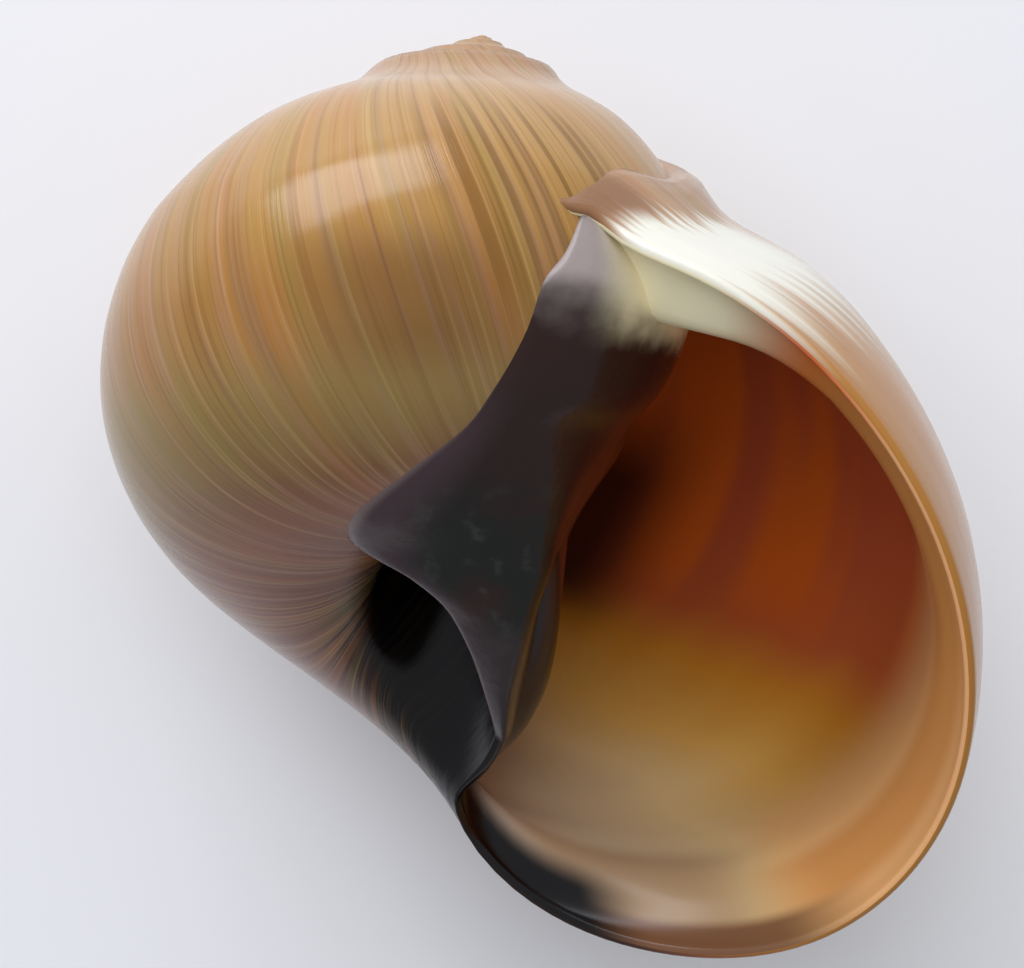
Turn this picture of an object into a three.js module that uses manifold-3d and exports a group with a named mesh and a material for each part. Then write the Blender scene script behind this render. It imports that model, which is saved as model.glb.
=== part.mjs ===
// A moon snail shell, empty, lying on its back with the mouth up.
// Units are millimetres. The shell is worked out in its own growing frame: the apex is the origin,
// the coiling axis runs down from it along -Z, and every whorl is the last one shrunk towards the apex.
import * as THREE from 'three';
import { mergeVertices } from 'three/addons/utils/BufferGeometryUtils.js';
import Module from 'manifold-3d';

// ---- driving dimensions -------------------------------------------------------------------------
const GROWTH_PER_TURN = 2.25;      // how much the shell grows in one whole turn
const LIP_TILT = 24.5;             // degrees: the plane of the mouth leans this far from the axis
const LAST_DROP = 2.0;             // the last whorl slips this far down the axis at the lip ...
const DROP_FADE = 1.2;             // ... and the slip fades this fast (per radian) towards the apex,
const DROP_END = 0.6;              // while past this much growth (radians) it no longer deepens
const MOUTH_PLACE = 3.7;            // the place on the outline that reaches the lip at growth 0
const LIP_EDGE = 0.5;              // thickness of the thinned edge of the lip
const LIP_BEVEL = 15;              // degrees of growth over which the wall thins to that edge
const WALL_GROWTH = 0.4;           // the wall thickens more slowly than the shell widens
const WHORLS = 3.5;                // turns that are built, counted back from the lip
const HOLLOW_TURNS = 1.5;          // turns of open cavity behind the mouth
const PROTOCONCH = 0.9;            // radius of the smooth bead that starts the spire

// The last whorl cut through the axis: pull points of a closed uniform cubic B-spline,
// as distance from the axis, height against the apex, and thickness of the wall.
const WHORL = [
  [11.5, -4.0, 1.0],    // tucked against the whorl above
  [12.5, -7.5, 1.0],    // suture
  [18.0, -8.5, 1.0],    // flat shoulder
  [26.0, -19.0, 1.2],
  [27.0, -31.0, 1.3],   // widest stretch
  [22.5, -39.5, 1.5],
  [16.5, -44.0, 1.7],
  [7.0, -46.5, 2.1],    // lowest stretch of the base
  [3.5, -44.5, 2.2],    // turn-in to the navel
  [4.0, -35.5, 2.2],
  [4.5, -26.5, 2.0],    // wall of the navel
  [5.0, -16.5, 1.6],
  [8.0, -6.0, 1.2],     // hidden inside the whorl above
];

// The callus, a thick glaze beside the mouth, from the suture down to the foot of the inner lip.
// Each row runs from its outer rim over its crest into the mouth. A place on the whorl above is
// ['on', degrees of growth, place in pull points, height over it]; a place clear of it is
// ['at', degrees round the axis, distance from the axis, height against the apex].
const CALLUS = [
  [['on', -324, 2.9, 0.1], ['on', -332, 2.9, 0.5], ['on', -350, 2.9, 0.5], ['on', -380, 2.8, 0.2]],
  [['on', -315, 3.5, 0.2], ['on', -330, 3.6, 1.0], ['on', -352, 3.6, 0.7], ['on', -385, 3.6, 0.2]],
  [['on', -307, 4.2, 0.3], ['on', -329, 4.3, 1.2], ['on', -352, 4.4, 0.8], ['on', -385, 4.4, 0.2]],
  [['on', -300, 4.9, 0.3], ['on', -326, 5.1, 1.3], ['on', -350, 5.2, 0.9], ['on', -380, 5.2, 0.2]],
  [['on', -284, 5.6, 0.4], ['at', 36, 10.6, -21.5], ['at', 12, 9.6, -20.5], ['at', -20, 8.4, -19.0]],
  [['on', -265, 6.3, 0.6], ['at', 36, 9.6, -24.0], ['at', 10, 8.6, -23.5], ['at', -22, 7.4, -22.0]],
  [['at', 68, 6.6, -27.2], ['at', 34, 8.8, -27.0], ['at', 6, 7.6, -26.5], ['at', -26, 6.6, -25.0]],
  [['at', 44, 6.4, -30.2], ['at', 28, 7.6, -30.5], ['at', -2, 6.8, -29.5], ['at', -32, 6.0, -28.0]],
  [['at', 20, 5.2, -34.2], ['at', 12, 6.4, -34.5], ['at', -14, 6.2, -33.5], ['at', -40, 5.6, -31.5]],
];
const CALLUS_THICKNESS = [0.8, 1.8, 1.8, 0.8];   // under the rim, the crest and the two places inside

// How it lies, and where the apex is when the worn spot on its back stands on the origin.
const REST_SPIN = -26;             // degrees about the coiling axis
const REST_PITCH = -3;             // degrees: base nearer the table than the apex
const REST_ROLL = 5.5;             // degrees: leaned to the right
const APEX_PLACE = new THREE.Vector3(-0.46, 21.64, 18.1);

// ---- how the curves are cut and joined ----------------------------------------------------------------
const OUTER_STEPS = 23;            // points along the outside of the wall
const INNER_STEPS = 20;            // points along its inside
const STEP = 15;                   // degrees of growth between two rings
const SPIRE_POINTS = 22;           // points round a whorl of the solid spire
const SPIRE_STEP = 20;             // degrees of growth between two of its rings
const BAR = 180;                   // degrees of growth in one bar of whorl
const JOIN = 3;                    // degrees past a joint at which the next bar has its full size
const THINNED = 0.15;              // how far a bar's first ring lies inside the bar before it
const RIBBON_TOP = -0.78;          // where the wall's upper edge is on the outline, in pull points ...
const RIBBON_SLIP = 0.66;          // ... how far it has moved along it at the lip ...
const RIBBON_FOOT = 10.8;          // ... and where its lower edge is, at the navel
const SLIP_FROM = -90;             // degrees of growth at which the edges start to move ...
const SLIP_OVER = 135;             // ... the degrees over which they do ...
const SLIP_CURVE = 1.6;            // ... and how late in them most of it comes
const CALLUS_ROWS = 14;            // steps down the callus
const CALLUS_STEPS = 8;            // steps across it
const SAME_POINT = 1e-5;           // vertices nearer than this are one
const NUDGE = 0.05;                // pull points either side of a place, to find the outline's direction
const NEWTON_ROUNDS = 30;          // rounds of Newton's method ...
const NEWTON_STEP = 0.3;           // ... that each move at most this far (radians)
const NEWTON_PROBE = 1e-4;         // and how far ahead its slope is taken (radians)
const TABLE = 100;                 // side of the block that wears the resting spot flat

const wasm = await Module();
wasm.setup();

const radians = THREE.MathUtils.degToRad;
const TURN = 2 * Math.PI;
const growthRate = Math.log(GROWTH_PER_TURN) / TURN;

// The whorl's outline at a place counted in pull points round it: x is the distance from the axis,
// y the height against the apex and z the thickness of the wall.
function outlinePoint(place) {
  const count = WHORL.length;
  const start = Math.floor(place);
  const t = place - start;
  const weights = [(1 - t) ** 3, 3 * t ** 3 - 6 * t ** 2 + 4, -3 * t ** 3 + 3 * t ** 2 + 3 * t + 1, t ** 3];
  const point = new THREE.Vector3();
  weights.forEach((weight, i) => {
    const pull = new THREE.Vector3(...WHORL[(start + i - 1 + count) % count]);
    point.addScaledVector(pull, weight / 6);
  });
  return point;
}

// The same point moved into the whorl, square to the outline.
function insetPoint(place, depth) {
  const before = outlinePoint((place - NUDGE + WHORL.length) % WHORL.length);
  const after = outlinePoint((place + NUDGE) % WHORL.length);
  const along = new THREE.Vector2(after.x - before.x, after.y - before.y).normalize();
  const point = outlinePoint(place);
  return new THREE.Vector2(point.x + along.y * depth, point.y - along.x * depth);
}

// Where a point of the whorl is once the shell has grown by this many radians (0 at the lip).
function grownPoint(growth, { x: radius, y: height }) {
  const size = Math.exp(growthRate * growth);
  const drop = LAST_DROP * Math.exp(DROP_FADE * Math.min(growth, DROP_END));
  return new THREE.Vector3(
    size * radius * Math.cos(growth),
    -size * radius * Math.sin(growth),
    size * (height - drop),
  );
}

// The mouth lies in one leaning plane, so each place on the outline reaches it at its own growth.
const mouthNormal = new THREE.Vector3(0, -Math.cos(radians(LIP_TILT)), -Math.sin(radians(LIP_TILT)));
const mouthPoint = grownPoint(0, outlinePoint(MOUTH_PLACE));
function lipGrowth(place) {
  const point = outlinePoint(place);
  const ahead = (growth) => grownPoint(growth, point).sub(mouthPoint).dot(mouthNormal);
  let growth = 0;
  for (let i = 0; i < NEWTON_ROUNDS; i += 1) {
    const slope = (ahead(growth + NEWTON_PROBE) - ahead(growth)) / NEWTON_PROBE;
    growth -= THREE.MathUtils.clamp(ahead(growth) / slope, -NEWTON_STEP, NEWTON_STEP);
  }
  return growth;
}

// ---- closed solids from rings and grids -------------------------------------------------------------
function solidFrom(points, triangles) {
  const geometry = new THREE.BufferGeometry();
  geometry.setAttribute('position', new THREE.Float32BufferAttribute(points.flatMap((p) => [p.x, p.y, p.z]), 3));
  geometry.setIndex(triangles);
  return toSolid(geometry);
}

function toSolid(geometry) {
  geometry.deleteAttribute('normal');
  geometry.deleteAttribute('uv');
  const merged = mergeVertices(geometry, SAME_POINT);
  const mesh = new wasm.Mesh({
    numProp: 3,
    vertProperties: new Float32Array(merged.attributes.position.array),
    triVerts: new Uint32Array(merged.index.array),
  });
  return new wasm.Manifold(mesh);
}

function unite(solids) {
  return solids.reduce((all, solid) => all.add(solid));
}

// The end of a tube as triangles of its ring's point numbers: a fan from a point in the middle,
// or, for a ring that goes out along a wall and back, a strip between its two sides.
function fanCap(count) {
  return Array.from({ length: count }, (_, i) => [i, (i + 1) % count, count]).flat();
}

function stripCap(nearCount) {
  return (count) => {
    const farCount = count - nearCount;
    const triangles = [];
    let near = 0;
    let far = 0;
    while (near < nearCount - 1 || far < farCount - 1) {
      const stepNear = near / (nearCount - 1) <= far / (farCount - 1);
      const [a, b] = [near, count - 1 - far];
      if (stepNear) near += 1;
      else far += 1;
      triangles.push(a, stepNear ? near : count - 1 - far, b);
    }
    return triangles;
  };
}

// A tube from rings of points, closed at each end by the given kind of cap.
function tubeSolid(rings, cap) {
  const count = rings[0].length;
  const points = rings.flat();
  const triangles = [];
  for (let ring = 0; ring < rings.length - 1; ring += 1) {
    for (let i = 0; i < count; i += 1) {
      const a = ring * count + i;
      const b = ring * count + ((i + 1) % count);
      triangles.push(a, a + count, b, b, a + count, b + count);
    }
  }
  [0, rings.length - 1].forEach((ring) => {
    const first = ring * count;
    const middle = rings[ring].reduce((sum, p) => sum.add(p), new THREE.Vector3()).divideScalar(count);
    const numbers = [...rings[ring].keys()].map((i) => first + i);
    const faces = cap(count);
    if (faces.includes(count)) {
      numbers.push(points.length);
      points.push(middle);
    }
    if (ring > 0) faces.reverse();
    triangles.push(...faces.map((i) => numbers[i]));
  });
  return solidFrom(points, triangles);
}

// ---- the coiled shell -------------------------------------------------------------------------------
// The hollow whorls are a ribbon: a wall that starts inside the wall of the whorl above, runs round
// the outside and the base, and ends inside that whorl's base at the navel. Near the lip the last
// whorl slips down, so both edges move along the outline with it.
function ribbonEdges(degrees) {
  const slip = THREE.MathUtils.clamp((degrees - SLIP_FROM) / SLIP_OVER, 0, 1) ** SLIP_CURVE;
  return [RIBBON_TOP + RIBBON_SLIP * slip, RIBBON_FOOT + 0.5 * RIBBON_SLIP * slip];
}

function ribbonRing(degrees, thinned) {
  const back = radians(degrees);
  const size = Math.exp(growthRate * back);
  const [top, foot] = ribbonEdges(degrees);
  const bevel = THREE.MathUtils.smoothstep(-degrees, 0, LIP_BEVEL);
  const along = (count) => Array.from({ length: count }, (_, i) => top + ((foot - top) * i) / (count - 1));
  const at = (place, depth) => {
    const turned = (place + WHORL.length) % WHORL.length;
    const own = place < 0 ? lipGrowth(0) : lipGrowth(turned);
    return grownPoint(back + own, insetPoint(turned, depth / size));
  };
  const wallAt = (place) => {
    const full = outlinePoint((place + WHORL.length) % WHORL.length).z * size ** WALL_GROWTH;
    return LIP_EDGE + (full - LIP_EDGE) * bevel;
  };
  const outer = along(OUTER_STEPS).map((place) => at(place, thinned));
  const inner = along(INNER_STEPS).map((place) => at(place, wallAt(place) - thinned));
  return [...outer, ...inner.reverse()];
}

// A bar starts thinned inside the end of the one before it, so that the two cross cleanly.
function ribbonBar(from, to) {
  const rings = [ribbonRing(from - STEP, THINNED)];
  for (let degrees = from + JOIN; degrees < to - 1; degrees += STEP) rings.push(ribbonRing(degrees, 0));
  rings.push(ribbonRing(to, 0));
  return tubeSolid(rings, stripCap(OUTER_STEPS));
}

function solidRing(degrees, inset) {
  const back = radians(degrees);
  const size = Math.exp(growthRate * back);
  return Array.from({ length: SPIRE_POINTS }, (_, i) => {
    const place = (i * WHORL.length) / SPIRE_POINTS;
    return grownPoint(back + lipGrowth(place), insetPoint(place, inset * size));
  });
}

function solidBar(from, to) {
  const rings = [solidRing(from - SPIRE_STEP / 2, 2 * THINNED)];
  for (let degrees = from + JOIN; degrees < to - 1; degrees += SPIRE_STEP) rings.push(solidRing(degrees, 0));
  rings.push(solidRing(to, 0));
  return tubeSolid(rings, fanCap);
}

function coiledShell() {
  const bars = [];
  const hollow = -360 * HOLLOW_TURNS;
  for (let from = -360 * WHORLS; from < hollow; from += BAR) bars.push(solidBar(from, from + BAR));
  for (let from = hollow; from < 0; from += BAR) bars.push(ribbonBar(from, from + BAR));
  const bead = new THREE.SphereGeometry(PROTOCONCH, 16, 10);
  bead.translate(0, 0, -PROTOCONCH);
  return unite([...bars, toSolid(bead)]);
}

// ---- the callus ---------------------------------------------------------------------------------------
function callusPoint([kind, degrees, ...rest]) {
  const growth = radians(degrees);
  if (kind === 'on') {
    const [place, lift] = rest;
    return grownPoint(growth, insetPoint(place, -lift / Math.exp(growthRate * growth)));
  }
  const [radius, height] = rest;
  return new THREE.Vector3(radius * Math.cos(growth), -radius * Math.sin(growth), height);
}

function smoothRow(points, count) {
  return new THREE.CatmullRomCurve3(points).getPoints(count);
}

// The glaze as a closed slab: its face, its back, and the strip that joins them round the edge.
function callusSolid() {
  const rails = [0, 1, 2, 3].map((i) => smoothRow(CALLUS.map((row) => callusPoint(row[i])), CALLUS_ROWS));
  const face = rails[0].map((_, row) => smoothRow(rails.map((rail) => rail[row]), CALLUS_STEPS));
  const depths = new THREE.CatmullRomCurve3(CALLUS_THICKNESS.map((depth, i) => new THREE.Vector3(i, depth, 0)));
  const back = face.map((row, r) => row.map((point, c) => {
    const up = face[Math.max(r - 1, 0)][c];
    const down = face[Math.min(r + 1, CALLUS_ROWS)][c];
    const out = row[Math.max(c - 1, 0)];
    const inward = row[Math.min(c + 1, CALLUS_STEPS)];
    const normal = down.clone().sub(up).cross(inward.clone().sub(out)).normalize();
    return point.clone().addScaledVector(normal, -depths.getPoint(c / CALLUS_STEPS).y);
  }));
  const rings = face.map((row, r) => [...row, ...back[r].slice().reverse()]);
  return tubeSolid(rings, stripCap(CALLUS_STEPS + 1));
}

const shellSolid = coiledShell().add(callusSolid());

// ---- lay it down and give it the worn spot it rests on ------------------------------------------------
const lay = new THREE.Matrix4().makeTranslation(APEX_PLACE)
  .multiply(new THREE.Matrix4().makeRotationX(radians(-90)))
  .multiply(new THREE.Matrix4().makeRotationY(radians(REST_ROLL)))
  .multiply(new THREE.Matrix4().makeRotationX(radians(REST_PITCH)))
  .multiply(new THREE.Matrix4().makeRotationZ(radians(REST_SPIN)));

// The triangles of the largest body: crumbs that the cuts leave loose are swept away.
function largestBody({ vertProperties, triVerts }) {
  const root = Array.from({ length: vertProperties.length / 3 }, (_, i) => i);
  const find = (i) => {
    let at = i;
    while (root[at] !== at) {
      root[at] = root[root[at]];
      at = root[at];
    }
    return at;
  };
  for (let i = 0; i < triVerts.length; i += 3) {
    root[find(triVerts[i + 1])] = find(triVerts[i]);
    root[find(triVerts[i + 2])] = find(triVerts[i]);
  }
  const bodies = new Map();
  for (let i = 0; i < triVerts.length; i += 3) {
    const body = find(triVerts[i]);
    if (!bodies.has(body)) bodies.set(body, []);
    bodies.get(body).push(triVerts[i], triVerts[i + 1], triVerts[i + 2]);
  }
  return [...bodies.values()].sort((a, b) => b.length - a.length)[0];
}

function geometryOf(solid) {
  const mesh = solid.getMesh();
  const geometry = new THREE.BufferGeometry();
  geometry.setAttribute('position', new THREE.Float32BufferAttribute(mesh.vertProperties, 3));
  geometry.setIndex(largestBody(mesh));
  return geometry;
}

const laid = toSolid(geometryOf(shellSolid).applyMatrix4(lay));
const table = new THREE.BoxGeometry(TABLE, TABLE, TABLE);
table.translate(0, 0, -TABLE / 2);
const rested = laid.subtract(toSolid(table));

const shell = new THREE.Mesh(
  geometryOf(rested),
  new THREE.MeshStandardMaterial({ color: 0xa9794f, roughness: 0.25, metalness: 0 }),
);
shell.name = 'shell';

const moonSnailShell = new THREE.Group();
moonSnailShell.add(shell);

export default moonSnailShell;
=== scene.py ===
# %% [markdown]
# # A moon snail shell
#
# The real thing is one piece of aragonite. The animal laid it down at the lip of the mouth, a little
# at a time, while it turned about an axis and grew by the same share with every turn. So the whole
# shell follows one rule: take the outline of a whorl, turn it, make it larger, and repeat.
#
# A modeller could sculpt such a shell by hand, or lathe it and shear it. Here the rule itself is built
# with Geometry Nodes, because then the suture, the spire, the navel and the throat all come out where
# the animal put them. The imported CAD model is loaded first.

# %% Load the frame
import math

import bpy
import numpy as np
from mathutils import Matrix, Vector


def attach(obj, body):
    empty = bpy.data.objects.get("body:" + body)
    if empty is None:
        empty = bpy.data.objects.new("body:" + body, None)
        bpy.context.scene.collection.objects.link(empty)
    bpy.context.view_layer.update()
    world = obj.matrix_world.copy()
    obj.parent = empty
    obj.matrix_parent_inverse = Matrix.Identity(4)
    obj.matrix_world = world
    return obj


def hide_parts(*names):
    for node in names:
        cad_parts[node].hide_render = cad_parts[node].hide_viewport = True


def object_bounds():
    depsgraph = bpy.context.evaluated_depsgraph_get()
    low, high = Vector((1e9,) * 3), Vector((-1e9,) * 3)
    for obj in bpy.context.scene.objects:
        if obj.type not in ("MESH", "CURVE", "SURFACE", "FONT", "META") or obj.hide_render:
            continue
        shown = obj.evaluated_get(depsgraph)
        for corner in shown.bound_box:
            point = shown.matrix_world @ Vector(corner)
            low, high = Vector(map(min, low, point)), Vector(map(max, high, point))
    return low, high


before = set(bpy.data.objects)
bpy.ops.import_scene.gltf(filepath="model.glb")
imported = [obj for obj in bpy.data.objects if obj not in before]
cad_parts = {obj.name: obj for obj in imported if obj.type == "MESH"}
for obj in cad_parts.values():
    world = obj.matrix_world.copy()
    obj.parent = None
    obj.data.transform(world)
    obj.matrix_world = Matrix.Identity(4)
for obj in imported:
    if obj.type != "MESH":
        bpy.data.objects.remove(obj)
cad_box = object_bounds()
MM = 0.001
print("CAD box in mm:", [[round(x / MM, 1) for x in corner] for corner in cad_box])

# %% [markdown]
# ## Two small helpers
#
# Every material and every Geometry Nodes tree is made of nodes, and each node needs settings and links.
# One function does both, so the recipes further down read like lists. Colours are written as the hex
# values that a paint program shows, which Blender needs turned into linear light.

# %% Helpers for colours and nodes
def linear(hex_colour):
    """An sRGB hex colour as linear red, green, blue and alpha."""
    channels = [int(hex_colour[i:i + 2], 16) / 255 for i in (1, 3, 5)]
    return [c / 12.92 if c <= 0.04045 else ((c + 0.055) / 1.055) ** 2.4 for c in channels] + [1.0]


def add(tree, kind, inputs=None, stops=None, **settings):
    """A node with its settings, and each input linked to a socket or set to a value."""
    made = tree.nodes.new(kind)
    for name, value in settings.items():
        setattr(made, name, value)
    if stops:
        ramp = made.color_ramp.elements
        while len(ramp) < len(stops):
            ramp.new(0.5)
        for element, (position, colour) in zip(ramp, stops):
            element.position = position
            element.color = linear(colour) if isinstance(colour, str) else [colour] * 3 + [1.0]
    for socket, value in (inputs or {}).items():
        if isinstance(value, bpy.types.NodeSocket):
            tree.links.new(value, made.inputs[socket])
        else:
            made.inputs[socket].default_value = value
    return made


# %% [markdown]
# ## The outline of a whorl
#
# Cut the last whorl through the coiling axis and its wall shows as a rounded loop: a shoulder beside
# the suture, a wide flank, the base, and a deep wall that lines the navel. The loop is drawn as a
# closed uniform cubic B-spline, because thirteen pull points are enough and it has no corners.
# Each pull point is a distance from the axis, a height against the apex and a wall thickness.

# %% Driving dimensions, in millimetres
GROWTH_PER_TURN = 2.25     # how much the shell grows in one whole turn
LIP_TILT = 24.5            # degrees: the plane of the mouth leans this far from the axis ...
MOUTH_PLACE = 3.7          # ... and holds this place of the outline at growth 0
LAST_DROP = 2.0            # the last whorl slips this far down the axis at the lip ...
DROP_FADE = 1.2            # ... and the slip fades this fast, per radian, towards the apex
DROP_END = 0.6             # radians past the lip's middle where the slip stops growing
LIP_EDGE = 0.5             # thickness of the thinned edge of the lip
LIP_BEVEL = 15             # degrees of growth over which the wall thins to that edge
WALL_GROWTH = 0.4          # the wall thickens more slowly than the shell widens
WALL_ROOM = 3              # and is never thicker than this on the last whorl, less on smaller ones
WHORL = [
    (11.5, -4.0, 1.0),     # tucked against the whorl above
    (12.5, -7.5, 1.0),     # suture
    (18.0, -8.5, 1.0),     # flat shoulder
    (26.0, -19.0, 1.2),
    (27.0, -31.0, 1.3),    # widest stretch
    (22.5, -39.5, 1.5),
    (16.5, -44.0, 1.7),
    (7.0, -46.5, 2.1),     # lowest stretch of the base
    (3.5, -44.5, 2.2),     # turn-in to the navel
    (4.0, -35.5, 2.2),
    (4.5, -26.5, 2.0),     # wall of the navel
    (5.0, -16.5, 1.6),
    (8.0, -6.0, 1.2),      # hidden inside the whorl above
]
TURN = 2 * math.pi
NEARBY = 0.05              # pull points either side of a place, to find the outline's direction there
GROWTH_RATE = math.log(GROWTH_PER_TURN) / TURN


def outline_point(place):
    """Distance from the axis, height and wall at a place counted in pull points round the loop."""
    start = math.floor(place)
    t = place - start
    weights = ((1 - t) ** 3, 3 * t ** 3 - 6 * t ** 2 + 4, -3 * t ** 3 + 3 * t ** 2 + 3 * t + 1, t ** 3)
    pulls = [WHORL[(start + i - 1) % len(WHORL)] for i in range(4)]
    return np.array(weights) @ np.array(pulls) / 6


def inward(place):
    """Unit direction into the whorl, square to its outline, as (from the axis, up)."""
    along = (outline_point(place + NEARBY) - outline_point(place - NEARBY))[:2]
    along /= np.linalg.norm(along)
    return np.array((along[1], -along[0]))


def grown_point(growth, radius, height):
    """Where a point of the outline is once the shell has grown by this angle, 0 at the lip."""
    size = math.exp(GROWTH_RATE * growth)
    drop = LAST_DROP * math.exp(DROP_FADE * min(growth, DROP_END))
    return np.array((
        size * radius * math.cos(growth),
        -size * radius * math.sin(growth),
        size * (height - drop),
    ))


print("widest point of the outline:", np.round(outline_point(4), 1), "mm")

# %% [markdown]
# ## The lip
#
# The mouth of a moon snail lies in one leaning plane. Each place on the outline meets that plane at
# its own angle, which Newton's method finds. Every older growth line has the shape of the lip, so the
# same angles also say how the growth lines lean across the whorl.

# %% Where each place on the outline meets the plane of the mouth
NEWTON_ROUNDS = 30
NEWTON_PROBE = 1e-4        # radians between the two trial points
NEWTON_STEP = 0.3          # radians: the longest step in one round
mouth_normal = np.array((0, -math.cos(math.radians(LIP_TILT)), -math.sin(math.radians(LIP_TILT))))
mouth_point = grown_point(0, *outline_point(MOUTH_PLACE)[:2])


def lip_growth(place):
    """The angle of growth at which this place on the outline reaches the lip. Places under 0 go with 0."""
    radius, height, _ = outline_point(max(place, 0))
    growth = 0.0
    for _ in range(NEWTON_ROUNDS):
        ahead, further = [
            (grown_point(trial, radius, height) - mouth_point) @ mouth_normal
            for trial in (growth, growth + NEWTON_PROBE)
        ]
        step = ahead * NEWTON_PROBE / (further - ahead)
        growth -= float(np.clip(step, -NEWTON_STEP, NEWTON_STEP))
    return growth


lip_ends = [round(math.degrees(lip_growth(place))) for place in (1, 8)]
print("the lip runs from", lip_ends[0], "to", lip_ends[1], "degrees")

# %% [markdown]
# ## Guides for the sweep
#
# The wall is a ribbon. It starts inside the wall of the whorl above, goes round the outside and the
# base, and ends inside that whorl at the navel. Two guide lines hold what the sweep has to know:
# the *section* carries the outline with its wall and its lip angle, and the *rings* say how old each
# ring is and whether it lies on the outside (depth 0) or the inside (depth 1) of the wall. The rings go
# from the apex up to the lip on the outside, round the edge, and back to the apex on the inside, so
# the swept sheet closes on itself and has a real thickness, which runs out only at its hidden edges.

# %% Guide lines as loose edges with named attributes
RIBBON_TOP = -0.78         # where the ribbon's upper edge is on the outline, in pull points ...
RIBBON_SLIP = 0.66         # ... how far it has moved along it at the lip, where the whorl slips down ...
RIBBON_FOOT = 10.8         # ... and where its lower edge is, in the navel
PLACE_STEP = 0.02          # pull points between two samples of the section ...
PLACE_ENDS = (-1, 11.6)    # ... from here to here
SLIP_FROM = -90            # degrees of growth where the slip along the outline starts ...
SLIP_OVER = 135            # ... how many degrees it takes ...
SLIP_CURVE = 1.6           # ... and how gently it starts
APRON = (-0.9, 1.5)        # at the lip the suture climbs by this much: towards the axis, and up
SHOULDER = (-3.2, 1.5)     # all round the last whorl it climbs this far over the whorl above
# The share of each climb at a place on the outline.
APRON_FADE = ((-1, 1), (0.75, 1), (1.3, 0.45), (2.0, 0))
SHOULDER_FADE = ((-1, 1), (0.75, 1), (1.5, 0.6), (2.8, 0))
# Radians of growth where each climb is at its least, where it is whole, and that least share.
APRON_STEPS = ((0.1, 0.58, 0.0), (0.75, 0.6, 0.27))
SHOULDER_STEPS = ((-9.8, -6.6, 0.0), (0.0, -1.3, 0.0))
# The ridge inside the lip: millimetres at a place on the outline, and the radians between which it rises
# from the lip's edge and sinks again towards the throat.
RIDGE = ((-1, 3.2), (1.0, 3.2), (1.7, 2.5), (2.4, 1.5), (3.5, 0.9), (5.5, 0.7), (7.0, 0.4), (8.5, 0.1))
RIDGE_STEPS = ((0.0, -0.17), (-0.75, -0.25))


def guide(name, points, **attributes):
    """A line of loose edges whose points carry named numbers."""
    mesh = bpy.data.meshes.new(name)
    mesh.from_pydata([tuple(p) for p in points], [(i, i + 1) for i in range(len(points) - 1)], [])
    for key, values in attributes.items():
        mesh.attributes.new(key, "FLOAT", "POINT").data.foreach_set("value", values)
    made = bpy.data.objects.new(name, mesh)
    bpy.context.scene.collection.objects.link(made)
    return made


def profile(table, at):
    """The value at a place, on straight lines between the (place, value) pairs of a table."""
    return np.interp(at, *zip(*table))


places = np.arange(*PLACE_ENDS, PLACE_STEP)
outline = np.array([outline_point(place) for place in places])
lengths = np.append(0, np.cumsum(np.linalg.norm(np.diff(outline[:, :2], axis=0), axis=1)))
section_guide = guide(
    "section_guide",
    [(radius * MM, 0, height * MM) for radius, height, _ in outline],
    place=places,
    wall=outline[:, 2] * MM,
    lip_angle=[lip_growth(place) for place in places],
    apron=profile(APRON_FADE, places),
    shoulder=profile(SHOULDER_FADE, places),
    ridge=profile(RIDGE, places) * MM,
)


def along_section(place, slip, degrees):
    """The share of the section's length at a place that slips along it near the lip."""
    slipped = place + slip * min(max((degrees - SLIP_FROM) / SLIP_OVER, 0), 1) ** SLIP_CURVE
    return np.interp(slipped, places, lengths) / lengths[-1]


# The outside's rings, oldest first: degrees of growth where each span starts, and the step in it.
SPANS = [(-1980, 15), (-1080, 8), (-540, 2), (-8, 1), (0, 1)]
EDGE_ROUND = 0.6           # degrees of growth that the rounded edge of the lip stands out ...
EDGE_RINGS = 7             # ... and the rings that round it
outside = np.concatenate([np.arange(a, b, step) for (a, step), (b, _) in zip(SPANS, SPANS[1:])])
turn_over = np.linspace(0, math.pi, EDGE_RINGS)
ages = [*outside, *(EDGE_ROUND * np.sin(turn_over)), *outside[::-1]]
depths = [*(0 * outside), *((1 - np.cos(turn_over)) / 2), *(0 * outside[1:] + 1), 0]
ring_guide = guide(
    "ring_guide",
    [(0, 0, i * MM) for i in range(len(ages))],
    age=np.radians(ages),
    depth=depths,
    top=[along_section(RIBBON_TOP, RIBBON_SLIP, age) for age in ages],
    foot=[along_section(RIBBON_FOOT, RIBBON_SLIP / 2, age) for age in ages],
)
print(len(ages), "rings,", len(places), "points on the section")

# %% [markdown]
# ## Growing the shell with Geometry Nodes
#
# The tree lays out a grid with one row for each ring. A grid point looks up how old its ring is, and
# where its column meets the section. Then it does what the animal did: it takes that point of the
# outline, scales it by the growth so far, moves it in by the wall's thickness if it is on the inside,
# and turns it about the axis. Growth lines stand a little proud, as low waves that follow the age of
# the ring. The tree keeps the age and the place as attributes, because the colours follow them.

# %% The tree that grows the whorls
HALF = 0.5                 # the flat grid runs this far either way from its middle
WALL_FROM = 0.48           # how far out the wall has its full thickness ...
RIPPLES_FROM = 0.46        # ... and how far out the ripples have their full height
RIPPLE_FREE = -0.1         # radians before the lip where the ripples reach their full height
RIPPLE_NOISE = (0.3, 0.7)  # the noise values that give no ripple and a full one
SAME_POINT = 0.002         # millimetres within which two points are one


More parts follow.
